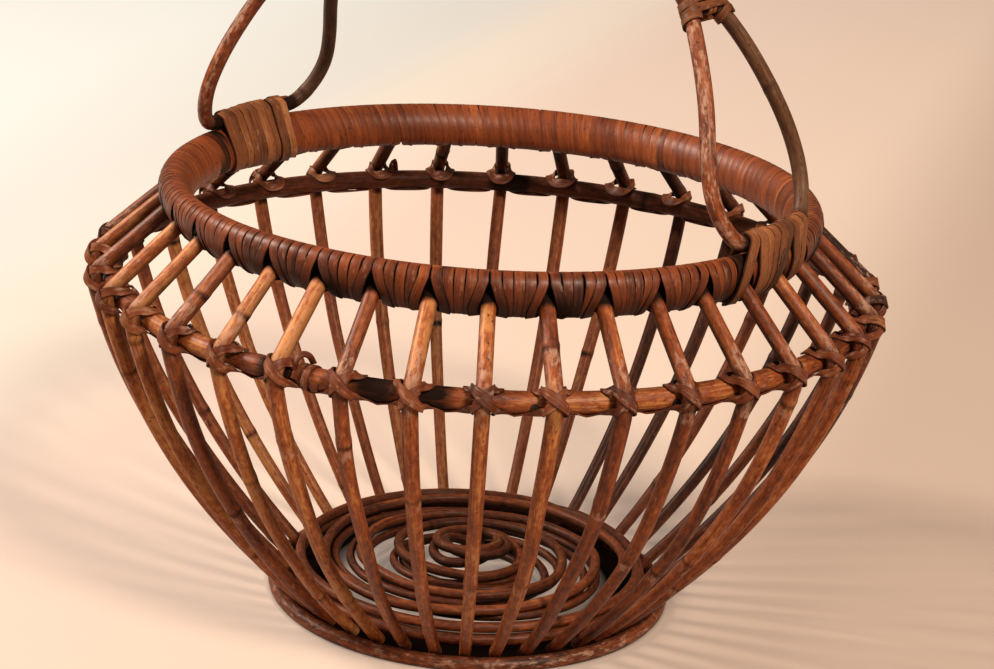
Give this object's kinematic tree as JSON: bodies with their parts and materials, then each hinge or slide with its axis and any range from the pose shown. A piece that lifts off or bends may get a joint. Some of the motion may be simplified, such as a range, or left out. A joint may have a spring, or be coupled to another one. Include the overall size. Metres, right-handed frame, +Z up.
{
  "type": "sewing basket",
  "caption": "Round openwork sewing basket of bent rattan rods: bound rim, laced shoulder hoop, foot ring, coiled floor and a fixed arched handle with looped feet.",
  "frame": {"origin": "centre of the basket's round plan, on the table under the foot ring", "axes": "+Z up; X along the handle's span, from foot loop to foot loop; Y across the handle"},
  "size_m": [0.3045, 0.3046, 0.2918],
  "materials": {
    "rib_rattan": "satin, oiled reddish-brown rattan rod",
    "core_rattan": "plain rattan rod, hidden in the rim",
    "rim_cane": "satin flat cane wound tight round the rim",
    "hoop_rattan": "satin rattan rod with tan patches",
    "lacing_cane": "satin flat cane",
    "foot_rattan": "satin rattan rod, worn",
    "floor_rattan": "dull dark rattan rod",
    "handle_rattan": "satin rattan rod",
    "neck_cane": "dull grey-brown flat cane",
    "grip_cane": "satin flat cane",
    "foot_cane": "dull grey-brown flat cane"
  },
  "bodies": {
    "root": {"rib_01": "rib_rattan", "rib_02": "rib_rattan", "rib_03": "rib_rattan", "rib_04": "rib_rattan", "rib_05": "rib_rattan", "rib_06": "rib_rattan", "rib_07": "rib_rattan", "rib_08": "rib_rattan", "rib_09": "rib_rattan", "rib_10": "rib_rattan", "rib_11": "rib_rattan", "rib_12": "rib_rattan", "rib_13": "rib_rattan", "rib_14": "rib_rattan", "rib_15": "rib_rattan", "rib_16": "rib_rattan", "rib_17": "rib_rattan", "rib_18": "rib_rattan", "rib_19": "rib_rattan", "rib_20": "rib_rattan", "rib_21": "rib_rattan", "rib_22": "rib_rattan", "rib_23": "rib_rattan", "rib_24": "rib_rattan", "rib_25": "rib_rattan", "rib_26": "rib_rattan", "rib_27": "rib_rattan", "rib_28": "rib_rattan", "rib_29": "rib_rattan", "rib_30": "rib_rattan", "rib_31": "rib_rattan", "rib_32": "rib_rattan", "rib_33": "rib_rattan", "rib_34": "rib_rattan", "rib_35": "rib_rattan", "rib_36": "rib_rattan", "rim_outer_hoop": "core_rattan", "rim_inner_hoop": "core_rattan", "rim_binding": "rim_cane", "shoulder_hoop": "hoop_rattan", "shoulder_lacing": "lacing_cane", "foot_ring": "foot_rattan", "floor_ring_lower": "floor_rattan", "floor_ring_upper": "floor_rattan", "floor_spiral": "floor_rattan", "handle_rod_back": "handle_rattan", "handle_rod_front": "handle_rattan", "neck_lashing_right": "neck_cane", "neck_lashing_left": "neck_cane", "handle_grip_binding": "grip_cane", "foot_lashing_right": "foot_cane", "foot_lashing_left": "foot_cane"}
  },
  "joints": []
}
